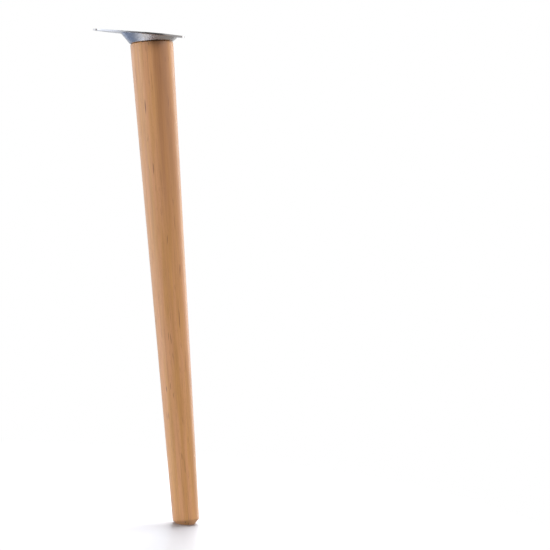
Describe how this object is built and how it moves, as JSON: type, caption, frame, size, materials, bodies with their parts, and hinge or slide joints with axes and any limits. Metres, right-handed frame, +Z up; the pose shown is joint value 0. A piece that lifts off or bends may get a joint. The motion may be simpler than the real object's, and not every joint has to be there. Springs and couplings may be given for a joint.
{
  "type": "tapered wooden furniture leg",
  "caption": "Round tapered beech furniture leg, splayed outward, with a level foot and a pressed, pocketed steel mounting plate.",
  "frame": {"origin": "middle of the screw-hole pattern, on the plate's top face, which lies against the furniture", "axes": "+Z up, out of the plate's top face; +X is the way the leg leans outward as it goes down; the plane Y = 0 is the plane of splay"},
  "size_m": [0.1434, 0.058, 0.45],
  "materials": {
    "beech": "thin satin lacquer over straight-grained beech",
    "zinc_sheet": "bright zinc-plated pressed sheet",
    "zinc_screw": "bright zinc plate"
  },
  "bodies": {
    "root": {"wooden_leg": "beech", "mounting_plate": "zinc_sheet", "plate_screw": "zinc_screw"}
  },
  "joints": []
}
